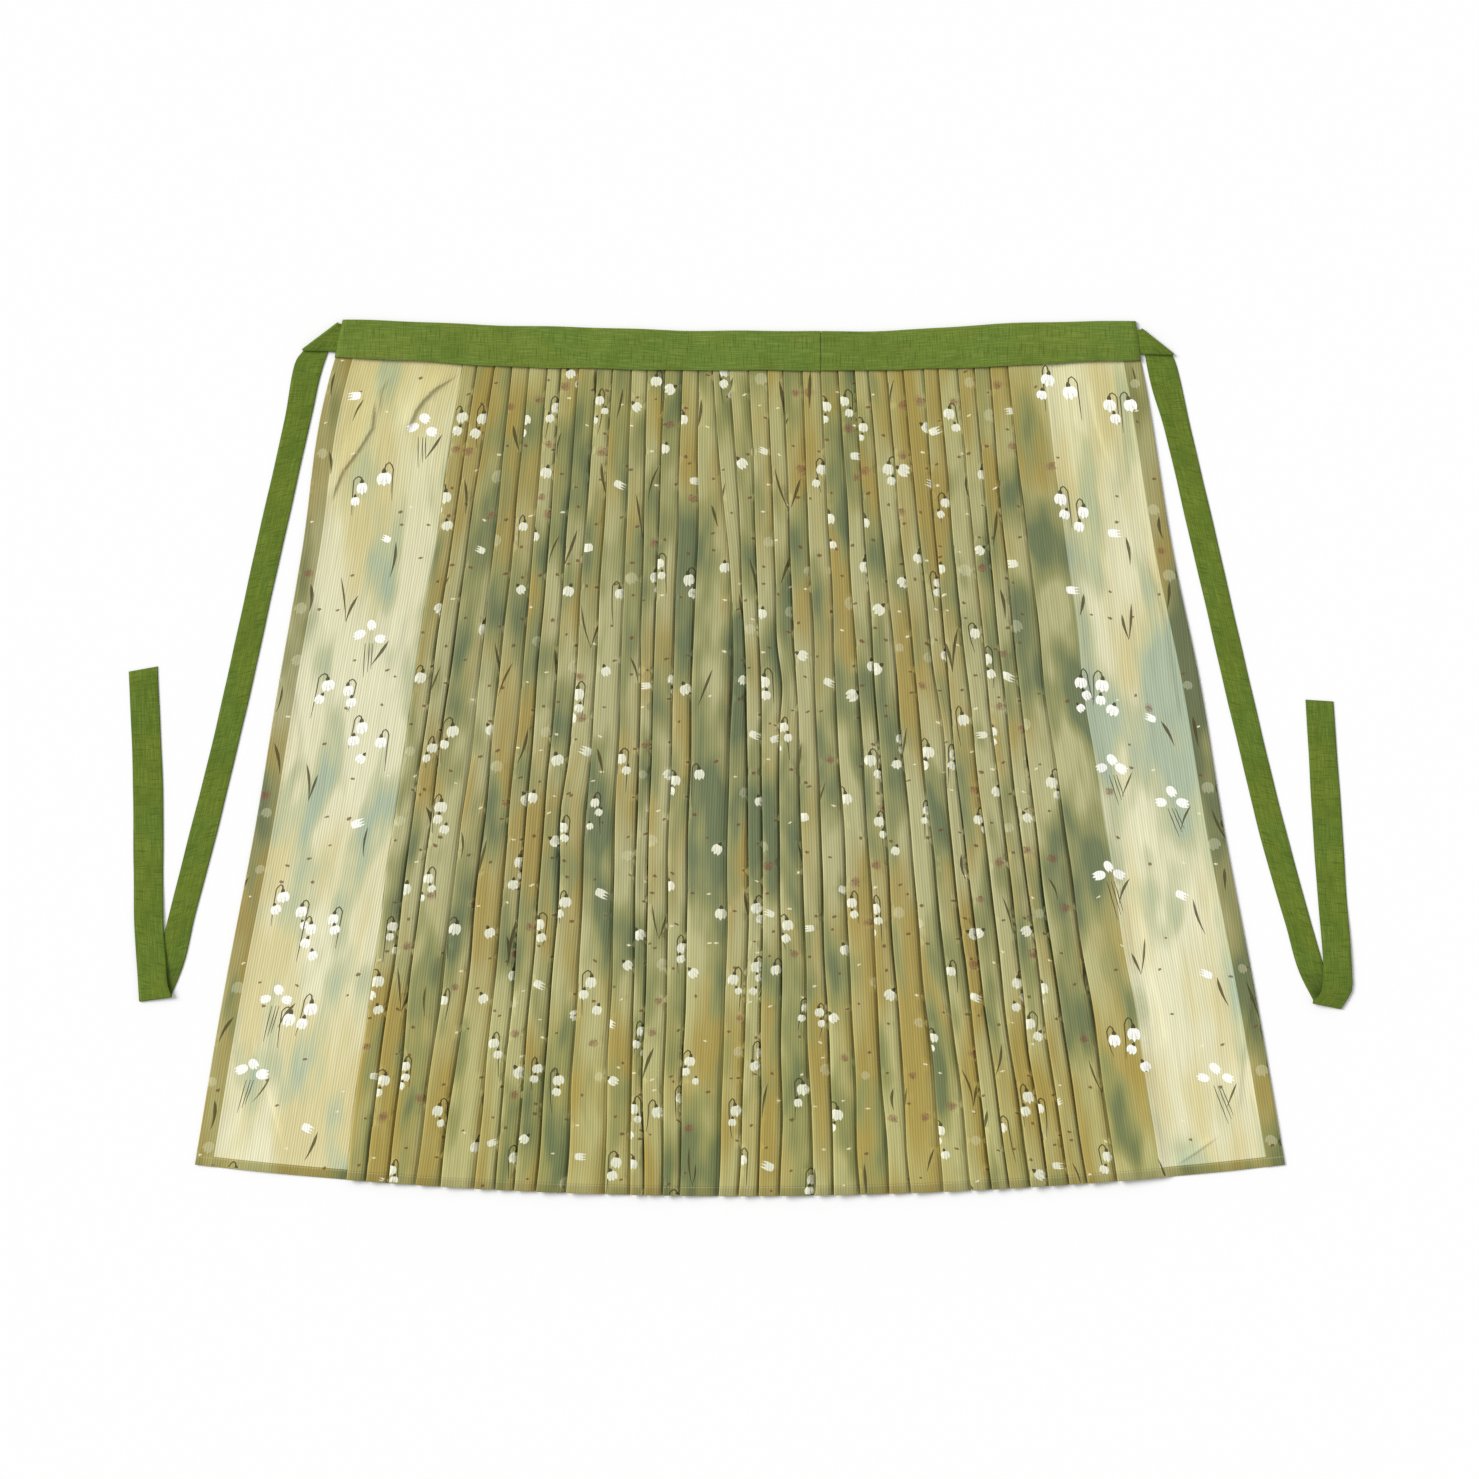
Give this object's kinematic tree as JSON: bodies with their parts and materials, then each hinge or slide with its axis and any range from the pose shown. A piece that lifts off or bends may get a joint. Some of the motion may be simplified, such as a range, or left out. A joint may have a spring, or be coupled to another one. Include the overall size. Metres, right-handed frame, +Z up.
{
  "type": "pleated wrap skirt",
  "caption": "One-piece wrap skirt laid flat, with flat side panels, a knife-pleated middle, a cloth waistband and two long flat ties.",
  "frame": {"origin": "bottom centre of the bounding box, on the surface that the skirt lies on", "axes": "+X across the skirt to the right as seen from above, +Y up the skirt from hem to waistband, +Z up from the surface"},
  "size_m": [1.396, 0.9995, 0.0062],
  "materials": {
    "printed_crepe": "matt, semi-sheer, fine lengthwise ribs, printed",
    "band_linen": "matt slubby plain weave",
    "tie_linen": "matt slubby plain weave"
  },
  "bodies": {
    "root": {"skirt_panel": "printed_crepe", "waistband_left": "band_linen", "waistband_right": "band_linen", "tie_left": "tie_linen", "tie_right": "tie_linen"}
  },
  "joints": []
}
